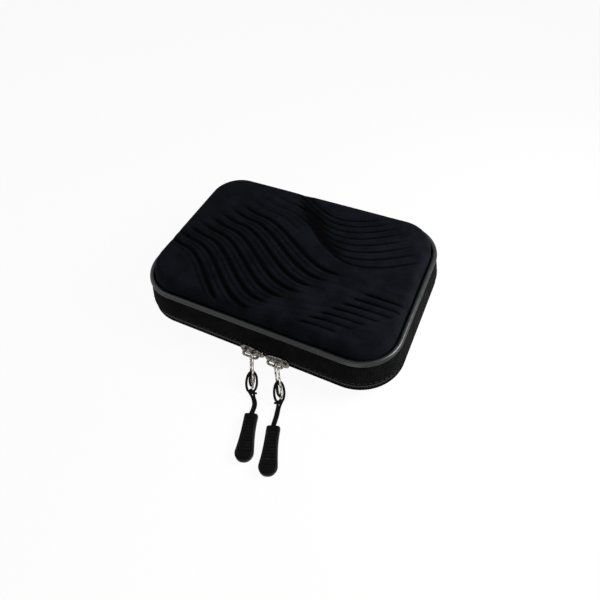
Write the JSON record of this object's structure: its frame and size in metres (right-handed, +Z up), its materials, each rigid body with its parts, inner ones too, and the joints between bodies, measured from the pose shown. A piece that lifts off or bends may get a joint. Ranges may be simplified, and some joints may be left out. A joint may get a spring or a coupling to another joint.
{
  "type": "hard drive case",
  "caption": "Low hard-shell zip case with a ribbed domed lid, piped edge, woven side band, two zip sliders on wire rings with corded grips, elastic strap and mesh pocket inside.",
  "frame": {"origin": "centre of the flat bottom of the base", "axes": "+Z up, -Y towards the front with the two zip pulls, +X to the right seen from the front"},
  "size_m": [0.158, 0.1645, 0.0399],
  "materials": {
    "shell_cloth": "fine knitted cloth, near black, moulded in waves on the lid",
    "foam": "pressed closed-cell foam",
    "lining_cloth": "short brushed lining",
    "woven_nylon": "coarse woven nylon, black",
    "piping_vinyl": "semi-gloss black vinyl",
    "binding_tape": "folded woven tape",
    "zip_tape": "fine woven tape",
    "zip_teeth": "black nylon coil",
    "stop_metal": "dull pressed metal",
    "elastic": "ribbed elastic webbing",
    "mesh": "open knitted mesh",
    "slider_metal": "cast metal, plated, warm grey",
    "wire_metal": "plated wire, bright warm grey",
    "pull_cord": "thin braided cord",
    "grip_rubber": "matt moulded rubber"
  },
  "bodies": {
    "base": {"base_cover": "shell_cloth", "base_shell": "foam", "base_lining": "lining_cloth", "base_band": "woven_nylon", "base_binding": "binding_tape", "base_tape": "zip_tape", "base_coil": "zip_teeth", "base_zip_stops": "stop_metal", "elastic_strap": "elastic", "strap_tabs": "elastic", "hinge_cloth": "woven_nylon"},
    "lid": {"lid_cover": "shell_cloth", "lid_shell": "foam", "lid_lining": "lining_cloth", "lid_piping": "piping_vinyl", "lid_band": "woven_nylon", "lid_band_foam": "foam", "lid_binding": "binding_tape", "lid_tape": "zip_tape", "lid_coil": "zip_teeth", "lid_zip_stops": "stop_metal", "mesh_pocket": "mesh", "pocket_elastic": "elastic", "pocket_binding": "binding_tape"},
    "slider_left": {"slider_body_left": "slider_metal", "slider_bail_left": "slider_metal"},
    "ring_left": {"pull_ring_left": "wire_metal"},
    "pull_left": {"pull_cord_left": "pull_cord", "pull_knot_left": "pull_cord", "pull_grip_left": "grip_rubber"},
    "slider_right": {"slider_body_right": "slider_metal", "slider_bail_right": "slider_metal"},
    "ring_right": {"pull_ring_right": "wire_metal"},
    "pull_right": {"pull_cord_right": "pull_cord", "pull_knot_right": "pull_cord", "pull_grip_right": "grip_rubber"}
  },
  "joints": [
    {"name": "lid_hinge", "type": "hinge", "parent": "base", "child": "lid", "pos_m": [0, 0.0555, 0.0141], "axis": [-1, 0, 0], "range_deg": [0, 135], "deforming": ["hinge_cloth"]},
    {"name": "slider_left_run", "type": "slide", "parent": "base", "child": "slider_left", "axis": [-1, 0, 0], "range_m": [0, 0.046]},
    {"name": "ring_left_swing", "type": "hinge", "parent": "slider_left", "child": "ring_left", "pos_m": [0.0014, -0.0594, 0.0141], "axis": [-1, 0, 0], "range_deg": [-25, 115]},
    {"name": "cord_left_swing", "type": "hinge", "parent": "ring_left", "child": "pull_left", "pos_m": [0.00735, -0.07066, 0.0022], "axis": [0.6421, -0.4191, 0.6419], "range_deg": [-30, 3]},
    {"name": "slider_right_run", "type": "slide", "parent": "base", "child": "slider_right", "axis": [1, 0, 0], "range_m": [0, 0.028]},
    {"name": "ring_right_swing", "type": "hinge", "parent": "slider_right", "child": "ring_right", "pos_m": [0.0166, -0.0594, 0.0141], "axis": [-1, 0, 0], "range_deg": [-25, 115]},
    {"name": "cord_right_swing", "type": "hinge", "parent": "ring_right", "child": "pull_right", "pos_m": [0.02443, -0.0697, 0.0022], "axis": [0.7052, -0.3013, 0.6419], "range_deg": [-8, 3]}
  ]
}
